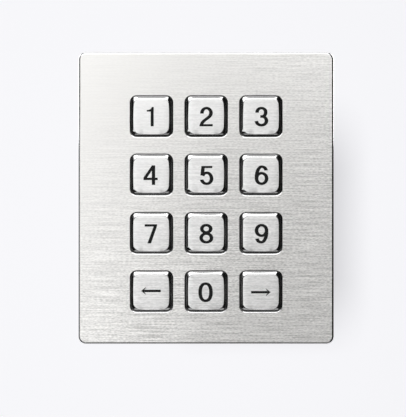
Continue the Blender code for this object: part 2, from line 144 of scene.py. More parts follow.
def ring(body, points, depth):
    """Vertices at one depth."""
    return [body.verts.new((x, depth, z)) for x, z in points]


def circle(body, radius, steps, place, depth):
    """A round ring. Where the radius is 0 it is so small that welding makes it a point."""
    return ring(body, polygon(max(radius, WELD / 4), steps, place)(), depth)


def skin(body, rings, material=0):
    """A band of faces from each ring to the next."""
    for first, second in zip(rings, rings[1:]):
        for index in range(len(first)):
            face = body.faces.new((first[index - 1], first[index], second[index], second[index - 1]))
            face.material_index = material


def close(body, rings):
    """A flat face inside the first ring, with the other rings as its holes, and hard edges around it."""
    outlines = [[(v.co.x, v.co.z) for v in found] for found in rings]
    corners = [v for found in rings for v in found]
    for triangle in tessellate_polygon(outlines):
        body.faces.new([corners[index] for index in triangle])
    for found in rings:
        for index in range(len(found)):
            edge = body.edges.get((found[index - 1], found[index]))
            edge.smooth = False


def linked(name, body):
    """The body as an object in the scene."""
    mesh = bpy.data.meshes.new(name)
    body.to_mesh(mesh)
    body.free()
    made = bpy.data.objects.new(name, mesh)
    bpy.context.scene.collection.objects.link(made)
    return made


def finished(name, body, sharp=SHARP):
    """The body as an object: welded, facing out, shaded smooth between its hard edges."""
    bmesh.ops.remove_doubles(body, verts=body.verts, dist=WELD)
    bmesh.ops.recalc_face_normals(body, faces=body.faces)
    for face in body.faces:
        face.smooth = True
    for edge in body.edges:
        if len(edge.link_faces) == 2 and edge.calc_face_angle() > math.radians(sharp):
            edge.smooth = False
    return linked(name, body)


def flat(name, outline, rim, holes=(), hole_rim=None, rim_material=0):
    """A flat part: an outline and holes, each with the (inset, depth) steps of its rim."""
    body = bmesh.new()
    fronts, backs = [], []
    rims = [(outline, rim, 1)]
    rims += [(hole, hole_rim or rim, -1) for hole in holes]
    for points, steps, inward in rims:
        rings = [ring(body, points(inward * inset), depth) for inset, depth in steps]
        skin(body, rings, rim_material)
        fronts.append(rings[0])
        backs.append(rings[-1])
    close(body, fronts)
    close(body, backs)
    return finished(name, body)


def turned(name, profile, place, steps=48, sharp=SHARP):
    """A round part about a Y axis at (x, z), from its (radius, depth) profile."""
    body = bmesh.new()
    skin(body, [circle(body, radius, steps, place, depth) for radius, depth in profile])
    return finished(name, body, sharp)


def joined(name, parts):
    """Several parts as one piece."""
    body = bmesh.new()
    for part in parts:
        body.from_mesh(part.data)
        bpy.data.objects.remove(part)
    return linked(name, body)


def bake(part):
    """Applies a part's modifiers."""
    bpy.context.view_layer.update()
    graph = bpy.context.evaluated_depsgraph_get()
    old = part.data
    mesh = bpy.data.meshes.new_from_object(part.evaluated_get(graph))
    part.modifiers.clear()
    part.data = mesh
    bpy.data.meshes.remove(old)
    mesh.name = part.name


def cut(part, other, operation="DIFFERENCE"):
    """Cuts the other part out of this one, or joins it, and removes the other."""
    boolean = part.modifiers.new("boolean", "BOOLEAN")
    boolean.operation = operation
    boolean.object = other
    bake(part)
    bpy.data.objects.remove(other)


def soften(part, width, segments=2):
    """Breaks a part's sharp edges."""
    bevel = part.modifiers.new("broken_edges", "BEVEL")
    bevel.width = width
    bevel.segments = segments
    bevel.limit_method = "ANGLE"
    bevel.angle_limit = math.radians(BROKEN)
    bevel.harden_normals = True


def reshade(part):
    """Welds a part that was cut, and marks its hard edges."""
    body = bmesh.new()
    body.from_mesh(part.data)
    bmesh.ops.remove_doubles(body, verts=body.verts, dist=WELD)
    for face in body.faces:
        face.smooth = True
    for edge in body.edges:
        edge.smooth = len(edge.link_faces) == 2 and edge.calc_face_angle() < math.radians(SHARP)
    body.to_mesh(part.data)
    body.free()


def install(part, body, nodes, slot, *materials):
    """Gives a new piece its materials and its body, and hides the CAD nodes that it stands for."""
    for material in materials:
        part.data.materials.append(material)
    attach(part, body)
    if nodes:
        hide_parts(*nodes)


# ---- materials

# Grinding lines are two noises of these sizes along x, y and z, mixed in these shares.
LONG_LINES = (14 * MM, 0.8 * MM, 0.32 * MM)
SHORT_LINES = (1.0 * MM, 0.8 * MM, 0.32 * MM)
LONG_SHARE = 0.55
SHORT_SHARE = 0.45
LINE_RANGE = (0.36, 0.64)  # what the mixed noise reaches
# The lines fade along this direction (x, z), between these two distances from the middle.
FADE_DIRECTION = (0.7, -0.8)
FADE = (-50 * MM, 25 * MM)


def wire(tree, kind, inputs, output=0, **settings):
    """A node with its inputs set or linked. Returns one of its outputs."""
    made = tree.nodes.new("ShaderNode" + kind)
    for name, value in settings.items():
        setattr(made, name, value)
    for name, value in inputs.items():
        if isinstance(value, bpy.types.NodeSocket):
            tree.links.new(value, made.inputs[name])
        else:
            made.inputs[name].default_value = value
    return made.outputs[output]


def coordinate(tree, axis):
    """The position along X, Y or Z, in metres."""
    where = wire(tree, "TexCoord", {}, output="Object")
    return wire(tree, "SeparateXYZ", {"Vector": where}, output=axis)


def noise(tree, pitch, detail):
    """Noise whose features measure pitch along x, y and z."""
    where = wire(tree, "TexCoord", {}, output="Object")
    scaled = wire(tree, "Mapping", {"Vector": where, "Scale": [1 / length for length in pitch]})
    return wire(tree, "TexNoise", {"Vector": scaled, "Scale": 1.0, "Detail": detail})


def between(tree, value, low, high, start=0.3, end=0.7):
    """The value, which runs from start to end, moved to run from low to high."""
    inputs = {"Value": value, "From Min": start, "From Max": end, "To Min": low, "To Max": high}
    return wire(tree, "MapRange", inputs)


def shades(tree, value, dark, light):
    """A colour between two, for a value between 0 and 1."""
    ramp = tree.nodes.new("ShaderNodeValToRGB")
    ramp.color_ramp.elements[0].color = (*dark, 1)
    ramp.color_ramp.elements[1].color = (*light, 1)
    tree.links.new(value, ramp.inputs["Fac"])
    return ramp.outputs["Color"]


def bumps(tree, height, distance):
    """A normal for a height of at most the distance."""
    return wire(tree, "Bump", {"Height": height, "Distance": distance}, output="Normal")


def new_material(name, links, **values):
    """A Principled material. values are fixed, links maps inputs to functions that make their textures."""
    made = bpy.data.materials.new(name)
    made.use_nodes = True
    tree = made.node_tree
    shader = tree.nodes["Principled BSDF"]
    for key, value in values.items():
        shader.inputs[key.title()].default_value = value
    for socket, make in links.items():
        tree.links.new(make(tree), shader.inputs[socket])
    return made


def brushed_steel(name, dark, light, roughness, height, calm):
    """Stainless steel ground along X. The lines fade towards the upper left, down to the calm share."""

    def strength(tree):
        sideways = wire(tree, "Math", {0: coordinate(tree, "X"), 1: FADE_DIRECTION[0]}, operation="MULTIPLY")
        inputs = {0: coordinate(tree, "Z"), 1: FADE_DIRECTION[1], 2: sideways}
        along = wire(tree, "Math", inputs, operation="MULTIPLY_ADD")
        return between(tree, along, calm, 1.0, *FADE)

    def lines(tree):
        long = noise(tree, LONG_LINES, detail=2)
        short = noise(tree, SHORT_LINES, detail=1)
        share = wire(tree, "Math", {0: short, 1: SHORT_SHARE}, operation="MULTIPLY")
        both = wire(tree, "Math", {0: long, 1: LONG_SHARE, 2: share}, operation="MULTIPLY_ADD")
        swing = between(tree, both, -0.5, 0.5, *LINE_RANGE)
        return wire(tree, "Math", {0: swing, 1: strength(tree), 2: 0.5}, operation="MULTIPLY_ADD")

    links = {
        "Base Color": lambda tree: shades(tree, lines(tree), dark, light),
        "Roughness": lambda tree: between(tree, lines(tree), roughness[1], roughness[0], 0, 1),
        "Normal": lambda tree: bumps(tree, lines(tree), height * MM),
    }
    made = new_material(name, links, metallic=1.0, anisotropic=0.6)
    tree = made.node_tree
    along = wire(tree, "Tangent", {}, direction_type="UV_MAP", uv_map="grain")
    tree.links.new(along, tree.nodes["Principled BSDF"].inputs["Tangent"])
    return made


def plain(name, dark, light, roughness, pitch, height, metallic=0.0):
    """A material whose colour, roughness and surface have one grain. Its pitch and height are in mm."""

    def grain(tree):
        return noise(tree, (pitch * MM, pitch * MM, pitch * MM), detail=3)

    def colour(tree):
        return shades(tree, between(tree, grain(tree), 0, 1), dark, light)

    def shine(tree):
        return between(tree, grain(tree), roughness[0], roughness[1])

    def normal(tree):
        return bumps(tree, grain(tree), height * MM)

    links = {"Base Color": colour, "Roughness": shine, "Normal": normal}
    return new_material(name, links, metallic=metallic)


# Each steel's dark and light colour, range of roughness, height of its lines in mm, and calm share.
STEEL = brushed_steel("brushed steel", (0.465, 0.46, 0.45), (0.985, 0.975, 0.955), (0.32, 0.40), 0.006, 0.07)
KEY_STEEL = brushed_steel("key steel", (0.62, 0.62, 0.615), (0.86, 0.855, 0.85), (0.42, 0.50), 0.003, 0.2)
# Each plain material's dark and light colour, range of roughness, and its grain's pitch and height in mm.
EDGE_STEEL = plain("polished edge", (0.50, 0.50, 0.50), (0.58, 0.58, 0.58), (0.08, 0.12), 0.6, 0.001, 1.0)
PLATED = plain("plated steel", (0.50, 0.51, 0.52), (0.68, 0.69, 0.70), (0.28, 0.42), 0.5, 0.003, 1.0)
RUBBER = plain("gasket rubber", (0.012, 0.012, 0.013), (0.03, 0.03, 0.031), (0.6, 0.8), 0.3, 0.02)
SILICONE = plain("silicone", (0.10, 0.10, 0.11), (0.14, 0.14, 0.15), (0.45, 0.6), 0.8, 0.004)
NYLON = plain("black nylon", (0.012, 0.012, 0.013), (0.025, 0.025, 0.026), (0.4, 0.55), 0.4, 0.006)
PLASTIC = plain("black plastic", (0.024, 0.024, 0.026), (0.045, 0.045, 0.048), (0.45, 0.62), 0.28, 0.018)
LAMINATE = plain("board laminate", (0.008, 0.09, 0.03), (0.015, 0.15, 0.05), (0.25, 0.4), 1.2, 0.004)
TERMINAL = plain("terminal plastic", (0.01, 0.20, 0.05), (0.02, 0.27, 0.08), (0.35, 0.5), 0.6, 0.004)
CHIP = plain("chip plastic", (0.012, 0.012, 0.013), (0.03, 0.03, 0.03), (0.45, 0.6), 0.15, 0.004)
RELAY = plain("relay plastic", (0.01, 0.05, 0.22), (0.015, 0.08, 0.30), (0.25, 0.4), 0.8, 0.003)
SLEEVE = plain("capacitor sleeve", (0.012, 0.012, 0.04), (0.02, 0.02, 0.06), (0.25, 0.4), 0.6, 0.003)
PAINT = plain("legend paint", (0.006, 0.006, 0.006), (0.014, 0.014, 0.014), (0.5, 0.7), 0.1, 0.004)
PAINT.node_tree.nodes["Principled BSDF"].inputs["Specular IOR Level"].default_value = 0.15


def grain_map(part):
    """A map whose first axis runs up the part, across the grinding lines."""
    layer = part.data.uv_layers.new(name="grain")
    for loop in part.data.loops:
        x, y, z = part.data.vertices[loop.vertex_index].co
        layer.data[loop.index].uv = (z + 0.4 * y, x + y)


# ---- front plate

PLATE_CORNER = 2.6 * MM
PLATE_EDGE = 0.65 * MM
BACK_EDGE = 0.15 * MM
HOLE_CORNER = 2.2 * MM
KEY_GAP = 0.3 * MM
# A hole's rim from the plate's face into the hole: how far each stretch leans from the face in degrees,
# and its length in mm.
HOLE_RIM = ((24, 0.08), (38, 0.10), (57, 0.34), (80, 0.06))
HOLE_DROP = 1.0  # how far a rim moves down, as a share of what it grows


def edge_steps(edge):
    """How far across and how far up each stretch of an edge has come at its end."""
    inward, forward = [], []
    across = up = 0.0
    for lean, length in edge:
        across += length * MM * math.cos(math.radians(lean))
        up += length * MM * math.sin(math.radians(lean))
        inward.append(across)
        forward.append(up)
    return inward, forward


def lowered(outline, share):
    """An outline that moves down by a share of what it grows, so a hole's rim is widest at its lower side."""

    def points(inset=0.0):
        return [(x, z + share * inset) for x, z in outline(inset)]

    return points


def make_plate():
    """The ground steel plate and its twelve holes, with polished rims."""
    front, back = span("front_plate")
    outline = rounded(*size("front_plate"), PLATE_CORNER, steps=12)
    holes = []
    for name in KEY_NAMES:
        width, height = size(f"key_cap_{name}")
        centre = middle(f"key_cap_{name}")
        hole = rounded(width + 2 * KEY_GAP, height + 2 * KEY_GAP, HOLE_CORNER, centre, steps=10)
        holes.append(lowered(hole, HOLE_DROP))
    rim = side(front, back, PLATE_EDGE, BACK_EDGE, 7)
    inward, deeper = edge_steps(HOLE_RIM)
    hole_rim = [(inward[-1], front)]
    hole_rim += [(inward[-1] - across, front + down) for across, down in zip(inward, deeper)]
    hole_rim += [(0, back - BACK_EDGE), (BACK_EDGE, back)]
    plate = flat("steel_plate", outline, rim, holes, hole_rim, rim_material=1)
    grain_map(plate)
    install(plate, "housing", ["front_plate"], "brushed_steel", STEEL, EDGE_STEEL)


# ---- legends

STROKE = 0.91  # width of a horizontal stroke; an upright one is wider by SPREAD
SPREAD = 1.38
TOUCHING = 0.01  # closer points of a stroke count as one
DIGIT_HEIGHT = 6.72
NINE_SHIFT = 0.36  # how far right the six moves when it is turned into a nine


def arc(centre, radii, start, end, steps=14, power=2.0):
    """Points along part of an ellipse, or of a squarer one, angles in degrees."""
    found = []
    for step in range(steps + 1):
        angle = math.radians(start + (end - start) * step / steps)
        c, s = math.cos(angle), math.sin(angle)
        x = math.copysign(abs(c) ** (2 / power), c)
        z = math.copysign(abs(s) ** (2 / power), s)
        found.append((centre[0] + radii[0] * x, centre[1] + radii[1] * z))
    return found


def bend(start, first, second, end):
    """Points along a cubic curve."""
    found = []
    for step in range(11):
        t = step / 10
        weights = ((1 - t) ** 3, 3 * t * (1 - t) ** 2, 3 * t * t * (1 - t), t**3)
        points = (start, first, second, end)
        found.append(tuple(sum(w * p[axis] for w, p in zip(weights, points)) for axis in (0, 1)))
    return found


def stroke(*runs, loop=False):
    """The four-sided pieces of a pen stroke along runs of points."""
    points = []
    for x, z in [point for run in runs for point in run]:
        here = (x / SPREAD, z)
        if not points or math.dist(points[-1], here) > TOUCHING:
            points.append(here)
    if loop and math.dist(points[0], points[-1]) < TOUCHING:
        points.pop()
    sides = []
    last = len(points) - 1
    for index, (x, z) in enumerate(points):
        before = points[index - 1] if loop or index else points[0]
        after = points[(index + 1) % len(points)] if loop or index < last else points[last]
        length = math.dist(before, after)
        across = ((before[1] - after[1]) / length * STROKE / 2, (after[0] - before[0]) / length * STROKE / 2)
        left = ((x + across[0]) * SPREAD, z + across[1])
        right = ((x - across[0]) * SPREAD, z - across[1])
        sides.append((left, right))
    pairs = list(zip(sides, sides[1:]))
    if loop:
        pairs.append((sides[-1], sides[0]))
    return [[a_left, a_right, b_right, b_left] for (a_left, a_right), (b_left, b_right) in pairs]


def bar(left, right, low, high):
    """A rectangle."""
    return [[(left, low), (right, low), (right, high), (left, high)]]


def half_turn(pieces):
    """The digit upside down, which makes a nine of a six."""
    return [[(NINE_SHIFT - x, DIGIT_HEIGHT - z) for x, z in piece] for piece in pieces]


def arrow(tip, tail):
    """A swept arrowhead and its shaft, from the tail to the tip along X."""
    forward = 1 if tip > tail else -1
    shaft = 0.42
    neck = tip - forward * 1.05
    upper = [(tip - forward * 1.7, 1.35), (tip - forward * 1.38, 0.62), (neck, shaft)]
    lower = [(x, -z) for x, z in reversed(upper)]
    return [[(tip, 0)] + upper + lower] + bar(min(neck, tail), max(neck, tail), -shaft, shaft)


def digits():
    """Each legend's pieces, in millimetres from the middle of its baseline."""
    flag = bend((0.36, 6.74), (0.1, 6.0), (-0.35, 5.72), (-1.37, 5.68))
    six = stroke(arc((0.18, 2.225), (1.755, 1.835), 0, 360, 32), loop=True)
    six += stroke(arc((0.25, 4.9), (1.5, 1.41), 5, 90), arc((0.25, 2.6), (1.825, 3.71), 90, 180))
    three = stroke(
        arc((0.12, 4.98), (1.50, 1.36), 190, 0),
        arc((0.40, 4.98), (1.22, 1.55), 0, -90),
        [(-0.27, 3.43)],
    )
    three += stroke(
        [(-0.27, 3.43)],
        arc((0.35, 1.9), (1.53, 1.53), 90, 0),
        arc((0.14, 1.9), (1.74, 1.51), 0, -178),
    )
    two = stroke(
        arc((0.17, 4.62), (1.58, 1.72), 186, 0),
        bend((1.75, 4.62), (1.72, 3.3), (0.2, 2.75), (-0.75, 1.85)),
        bend((-0.75, 1.85), (-1.3, 1.3), (-1.6, 0.9), (-1.65, 0)),
    )
    five = stroke(
        arc((0.28, 2.15), (1.66, 2.05), 150, 0),
        arc((0.28, 2.15), (1.66, 1.76), 0, -90),
        arc((0.28, 2.15), (1.80, 1.76), -90, -170),
    )
    five += stroke([(-1.0, 6.2), (-1.32, 3.25)])
    return {
        "0": stroke(arc((-0.14, 3.36), (1.87, 2.97), 0, 360, 40, power=2.3), loop=True),
        "1": [[(1.04, 0), (1.04, 6.74), *flag, (-1.37, 5.13), (-0.03, 5.13), (-0.03, 0)]],
        "2": two + bar(-2.14, 2.33, 0, 0.76),
        "3": three,
        "4": bar(0.37, 1.55, 0, 6.78)
        + bar(-2.53, 2.42, 1.66, 2.49)
        + [[(-2.53, 2.40), (-1.33, 2.40), (0.43, 5.0), (0.43, 6.78), (-2.53, 2.52)]],
        "5": five + bar(-1.6, 2.2, 5.83, 6.57),
        "6": six,
        "7": [
            [(-2.13, 5.84), (2.07, 5.84), (2.2, 6.25), (2.2, 6.65), (-2.13, 6.65)],
            [(-1.16, 0), (0.12, 0), (2.2, 6.05), (2.2, 6.25), (1.1, 6.25), (1.0, 5.88)],
        ],
        "8": stroke(arc((0.11, 5.075), (1.555, 1.265), 0, 360, 32), loop=True)
        + stroke(arc((0.13, 1.90), (1.80, 1.51), 0, 360, 32), loop=True),
        "9": half_turn(six),
        "left": arrow(-3.35, 3.49),
        "right": arrow(3.35, -3.49),
    }


# ---- keys

CAP_CORNER = 1.8 * MM
# The cap's edge from its side to its face: how far each stretch leans from the face in degrees, and its
# length in mm.
CAP_EDGE = ((80, 0.05), (65, 0.06), (44, 0.22), (42, 0.22), (39, 0.22), (38, 0.12))
CAP_EDGE += ((27, 0.05), (20, 0.05), (12, 0.05))
CAP_SHARP = 25
FACE_HALF = (6.17 * MM, 6.12 * MM)
FACE_DROP = 0.42 * MM  # how far below the cap's middle the face's middle is
FACE_TOP_CORNER = 1.8 * MM
FACE_LOW_CORNER = 2.3 * MM
FACE_BULGE = 0.3 * MM
FACE_BACK = 0.04 * MM  # room in front of the face, which its lean may use
FACE_GRID = 0.9 * MM
CROWN = 0.02 * MM
TILT = math.radians(0.25)
ENGRAVED = 0.18 * MM
PAINT_SUNK = 0.04 * MM
PAINT_GAP = 0.005 * MM  # between the paint and the engraving's floor
CAP_BORE = (2.5 * MM, 1.8 * MM)  # radius and depth
BASELINE = -3.87 * MM
LEGEND_SHIFT = dict.fromkeys(("1", "4", "7", "left"), -0.2 * MM)
LEGEND_SHIFT.update(dict.fromkeys(("2", "5", "8", "0"), -0.07 * MM))
ARROW_RISE = {"left": -0.05 * MM, "right": -0.5 * MM}


def key_outline(half, top_corner, low_corner, bulge=0.0):
    """Points of a key's outline around its centre, bowed out by the bulge, less above and below."""
    corner_steps = 8
    side_steps = 6
    corners = ((1, 1, 0, top_corner), (-1, 1, 90, top_corner))
    corners += ((-1, -1, 180, low_corner), (1, -1, 270, low_corner))
    arcs = []
    for side_x, side_z, start, radius in corners:
        centre = (side_x * (half[0] - radius), side_z * (half[1] - radius))
        angles = [math.radians(start + 90 * step / corner_steps) for step in range(corner_steps + 1)]
        arcs.append([around(centre, radius, angle) for angle in angles])
    found = []
    for index, points in enumerate(arcs):
        found += points
        begin, end = points[-1], arcs[(index + 1) % 4][0]
        for step in range(1, side_steps):
            t = step / side_steps
            found.append(tuple(a + (b - a) * t for a, b in zip(begin, end)))
    bowed = []
    for x, z in found:
        x -= bulge * math.copysign((z / half[1]) ** 2, x)
        z -= 0.4 * bulge * math.copysign((x / half[0]) ** 2, z)
        bowed.append((x, z))
    return bowed


def legend_pieces(name, shapes):
    """The legend's outlines, in metres from the key's centre."""
    shift_x = LEGEND_SHIFT.get(name, 0.0)
    shift_z = ARROW_RISE.get(name, BASELINE)
    return [[(x * MM + shift_x, z * MM + shift_z) for x, z in piece] for piece in shapes]


def divide(outline, pieces, spacing):
    """Splits the face into triangles.

    Returns the points, and each triangle's corners with whether it is in the legend.
    """
    points = [Vector(point) for point in outline]
    faces = [list(range(len(points)))]
    reach = int(FACE_HALF[0] / spacing)
    for column in range(-reach, reach + 1):
        for row in range(-reach, reach + 1):
            point = Vector((column * spacing, (row + 0.5 * (column % 2)) * spacing))
            if abs(point.x) < FACE_HALF[0] - spacing and abs(point.y) < FACE_HALF[1] - spacing:
                if point.length < FACE_HALF[0] + spacing:
                    points.append(point)
    for piece in pieces:
        area = sum(a[0] * b[1] - b[0] * a[1] for a, b in zip(piece, piece[1:] + piece[:1]))
        ordered = piece if area > 0 else piece[::-1]
        faces.append(list(range(len(points), len(points) + len(ordered))))
        points += [Vector(point) for point in ordered]
    found, _, triangles, _, _, origins = delaunay_2d_cdt(points, [], faces, 1, WELD)
    kept = []
    for corners, faces_of in zip(triangles, origins):
        if faces_of:
            kept.append((tuple(corners), any(face > 0 for face in faces_of)))
    return found, kept


def legend_edges(triangles):
    """The edges where the legend meets the rest of the face."""
    sides = {}
    for corners, inside in triangles:
        for index in range(3):
            pair = tuple(sorted((corners[index - 1], corners[index])))
            sides.setdefault(pair, []).append(inside)
    return [pair for pair, found in sides.items() if len(found) == 2 and found[0] != found[1]]


def make_legend(name, corner, triangles, walls):
    """The paint in a cap's engraving. corner makes a vertex of the face, sunk by some depth."""
    body = bmesh.new()
    top, bottom = {}, {}
    for corners, inside in triangles:
        if inside:
            for index in corners:
                if index not in top:
                    top[index] = corner(body, index, PAINT_SUNK)
                    bottom[index] = corner(body, index, ENGRAVED - PAINT_GAP)
            body.faces.new([top[index] for index in corners])
            body.faces.new([bottom[index] for index in reversed(corners)])
    for a, b in walls:
        body.faces.new((top[a], top[b], bottom[b], bottom[a]))
    install(finished(f"legend_{name}", body), f"key_{name}", [], "legend_paint", PAINT)


def make_key(name, shapes, lean):
    """The steel cap with its engraved legend, and the paint in the legend."""
    node = f"key_cap_{name}"
    centre_x, centre_z = middle(node)
    front, back = span(node)
    width, height = size(node)
    face_outline = key_outline(FACE_HALF, FACE_TOP_CORNER, FACE_LOW_CORNER, FACE_BULGE)
    face_outline = [(x, z - FACE_DROP) for x, z in face_outline]
    cap_outline = key_outline((width / 2, height / 2), CAP_CORNER, CAP_CORNER)
    points, triangles = divide(face_outline, legend_pieces(name, shapes), FACE_GRID)
    walls = legend_edges(triangles)

    def face_depth(x, z):
        bow = CROWN * ((x / FACE_HALF[0]) ** 2 + (z / FACE_HALF[1]) ** 2) / 2
        return front + FACE_BACK + bow + lean[0] * x + lean[1] * z

    def corner(body, index, sunk):
        x, z = points[index]
        return body.verts.new((centre_x + x, face_depth(x, z) + sunk, centre_z + z))

    body = bmesh.new()
    inward, forward = edge_steps(CAP_EDGE)
    shoulder = front + forward[-1]
    around_cap = [(centre_x + x, centre_z + z) for x, z in cap_outline]
    sides = [ring(body, around_cap, back), ring(body, around_cap, shoulder)]
    for across, up in zip(inward, forward):
        share = across / inward[-1]
        following = []
        for (outer_x, outer_z), (face_x, face_z) in zip(cap_outline, face_outline):
            x = outer_x + (face_x - outer_x) * share
            z = outer_z + (face_z - outer_z) * share
            depth = shoulder + (face_depth(face_x, face_z) - shoulder) * up / forward[-1]
            following.append(body.verts.new((centre_x + x, depth, centre_z + z)))
        sides.append(following)
    skin(body, sides, 1)
    high, low = {}, {}
    for corners, inside in triangles:
        level = low if inside else high
        sunk = ENGRAVED if inside else 0.0
        for index in corners:
            if index not in level:
                level[index] = corner(body, index, sunk)
        body.faces.new([level[index] for index in corners])
    for a, b in walls:
        body.faces.new((high[a], high[b], low[b], low[a]))
    radius, depth = CAP_BORE
    bore = [circle(body, radius, 32, (centre_x, centre_z), y) for y in (back, back - depth)]
    skin(body, bore)
    close(body, [sides[0], bore[0]])
    close(body, [bore[1]])
    cap = finished(f"steel_cap_{name}", body, CAP_SHARP)
    grain_map(cap)
    install(cap, f"key_{name}", [node], "brushed_steel", KEY_STEEL, EDGE_STEEL)
    make_legend(name, corner, triangles, walls)


def make_keys():
    """The twelve keys, each leaning a little in its own direction."""
    shapes = digits()
    chance = random.Random(7)
    for name in KEY_NAMES:
        lean = (chance.uniform(-TILT, TILT), chance.uniform(-TILT, TILT))
        make_key(name, shapes[name], lean)


# ---- fasteners

M4 = (2 * MM, 0.7 * MM)  # a thread's radius and pitch
M3 = (1.5 * MM, 0.5 * MM)
GROOVE = 0.6  # depth of a thread's groove, as a share of its pitch
ROWS_PER_TURN = 8
THREAD_SHARP = 50
# The foot of each kind of stud, as radius and depth, with the depth at which its thread starts.
WELD_FOOT = ((0, 0), (2.5 * MM, 0), (2.5 * MM, 0.5 * MM), (1.75 * MM, 0.8 * MM))
WELD_THREAD = 1.0 * MM
INNER_FOOT = ((0, 0), (1.5 * MM, 0), (1.5 * MM, 0.3 * MM))
INNER_THREAD = 0.5 * MM
NUT = (7 * MM, 2.25 * MM)  # width across the flats, and the bore's radius
STANDOFF = (5 * MM, 1.75 * MM)
LAND = 0.47  # radius of the flat ring on a nut's end, as a share of its width
NUT_STEPS = 48
COUNTERSINK = 0.3 * MM
HEAD_RADIUS = 2.75 * MM
HEAD_HEIGHT = 1.8 * MM
HEAD_DOME = 0.75 * MM
HEAD_EDGE = 0.15 * MM
SHANK_RADIUS = 1.4 * MM
RECESS = (1.55 * MM, 0.36 * MM)  # the reach of the cross, and half its arms' width
RECESS_DEPTH = 1.2 * MM


def make_stud(node, name, foot, thread_start, thread, tip):
    """A stud on the plate's back: its foot, then a helical thread up to its chamfered end."""
    front, end = span(node)
    place = middle(node)
    radius, pitch = thread
    steps = 24
    start = front + thread_start
    body = bmesh.new()
    rings = [circle(body, reach, steps, place, front + depth) for reach, depth in foot]
    rows = round((end - start) / pitch * ROWS_PER_TURN)
    for row in range(rows + 1):
        depth = start + (end - start) * row / rows
        points = []
        for step in range(steps):
            groove = abs(2 * ((depth / pitch - step / steps) % 1) - 1)
            reach = min(radius - GROOVE * pitch * groove, radius - tip + end - depth)
            points.append(around(place, reach, 2 * math.pi * step / steps))
        rings.append(ring(body, points, depth))
    rings.append(circle(body, 0, steps, place, end))
    skin(body, rings)
    install(finished(name, body, THREAD_SHARP), "housing", [node], "plated_steel", PLATED)


def make_hexagon(node, flats, bore):
    """A nut or standoff over a CAD node: its corners turned off at both ends, its bore countersunk."""
    front, back = span(node)
    place = middle(node)
    land = LAND * flats
    slope = math.tan(math.radians(30))
    turned_off = (flats / math.sqrt(3) - land) * slope
    offsets = [turned_off * step / 4 for step in range(5)]
    body = bmesh.new()
    rings = []
    for depth in [front + offset for offset in offsets] + [back - offset for offset in reversed(offsets)]:
        limit = land + min(depth - front, back - depth) / slope
        points = []
        for step in range(NUT_STEPS):
            angle = 2 * math.pi * step / NUT_STEPS
            reach = min(flats / 2 / math.cos(angle % (math.pi / 3) - math.pi / 6), limit)
            points.append(around(place, reach, angle))
        rings.append(ring(body, points, depth))
    profile = [(bore + COUNTERSINK, front), (bore, front + COUNTERSINK)]
    profile += [(bore, back - COUNTERSINK), (bore + COUNTERSINK, back)]
    hole = [circle(body, reach, NUT_STEPS, place, depth) for reach, depth in profile]
    skin(body, rings)
    skin(body, hole)
    close(body, [rings[0], hole[0]])
    close(body, [rings[-1], hole[-1]])
    install(finished(f"finished_{node}", body), "housing", [node], "plated_steel", PLATED)


def cross(length, width, place):
    """The outline of a cross recess, whose arms narrow less than they shorten."""

    def points(inset=0.0):
        far, near = length - inset, width - 0.3 * inset
        arm = [(far, -near), (far, near), (near, near)]
        found = []
        for c, s in ((1, 0), (0, 1), (-1, 0), (0, -1)):
            found += [(place[0] + c * x - s * z, place[1] + s * x + c * z) for x, z in arm]
        return found

    return points


def make_cover_screw(number):
    """A pan-head screw with a cross recess. Its shank, hidden in the standoff, tapers without a thread."""
    node = f"cover_screw_{number}"
    front, back = span(node)
    place = middle(node)
    seat = back - HEAD_HEIGHT
    profile = [(0, back)] + dome(HEAD_RADIUS, HEAD_DOME, back, (1.25, 1.0, 0.7, 0.35))
    profile += [(HEAD_RADIUS, back - HEAD_DOME), (HEAD_RADIUS, seat + HEAD_EDGE)]
    profile += [(HEAD_RADIUS - HEAD_EDGE, seat), (SHANK_RADIUS, seat), (SHANK_RADIUS, seat - 0.3 * MM)]
    profile.append((0, front))
    screw = turned(f"pan_screw_{number}", profile, place, 32, THREAD_SHARP)
    recess_side = [(0, back - RECESS_DEPTH), (-0.1 * MM, back + 0.2 * MM)]
    cut(screw, flat("recess", cross(*RECESS, place), recess_side))
    reshade(screw)
    install(screw, "housing", [node], "plated_steel", PLATED)


def make_fasteners():
    """The studs, nuts, standoffs and cover screws at the four corners."""
    for number in CORNERS:
        make_stud(f"mounting_stud_{number}", f"weld_stud_{number}", WELD_FOOT, WELD_THREAD, M4, 0.5 * MM)
        make_stud(f"frame_stud_{number}", f"inner_stud_{number}", INNER_FOOT, INNER_THREAD, M3, 0.4 * MM)
        make_hexagon(f"mounting_nut_{number}", *NUT)
        make_hexagon(f"standoff_{number}", *STANDOFF)
        make_cover_screw(number)


# ---- rear cover and terminals

COVER_CORNER = 4.5 * MM
COVER_WALL = 1.7 * MM
COVER_BACK_WALL = 2.0 * MM
BOSS_RADIUS = 4.0 * MM
BOSS_FRONT = 16.2 * MM
BOSS_EDGE = 0.2 * MM
STUD_HOLE = 1.8 * MM
POCKET_RADIUS = 3.2 * MM
POCKET_DEPTH = 2.4 * MM
PLUNGER_BORE = 2.1 * MM
NOTCH_GAP = 0.6 * MM
NOTCH_FRONT = 6.5 * MM
LABEL_HALF = (17 * MM, 9 * MM)
LABEL_MIDDLE = -2 * MM
LABEL_DEPTH = 0.25 * MM
SEAL_EDGE = 0.2 * MM
GASKET_CORNER = 2.0 * MM
GASKET_GAP = 0.4 * MM
GASKET_HOLE = 2.9 * MM
CLEAR = 5 * MM  # how far a cutter reaches past what it cuts
POLES = 8
POLE_PITCH = 3.81 * MM
WELL_RADIUS = 1.35 * MM
WELL_DEPTH = 3 * MM
CLAMP_RADIUS = 1.15 * MM
CLAMP_SUNK = 1.1 * MM
CLAMP_EDGE = 0.15 * MM
SLOT_HALF = (1.3 * MM, 0.17 * MM)
SLOT_DEPTH = 0.5 * MM
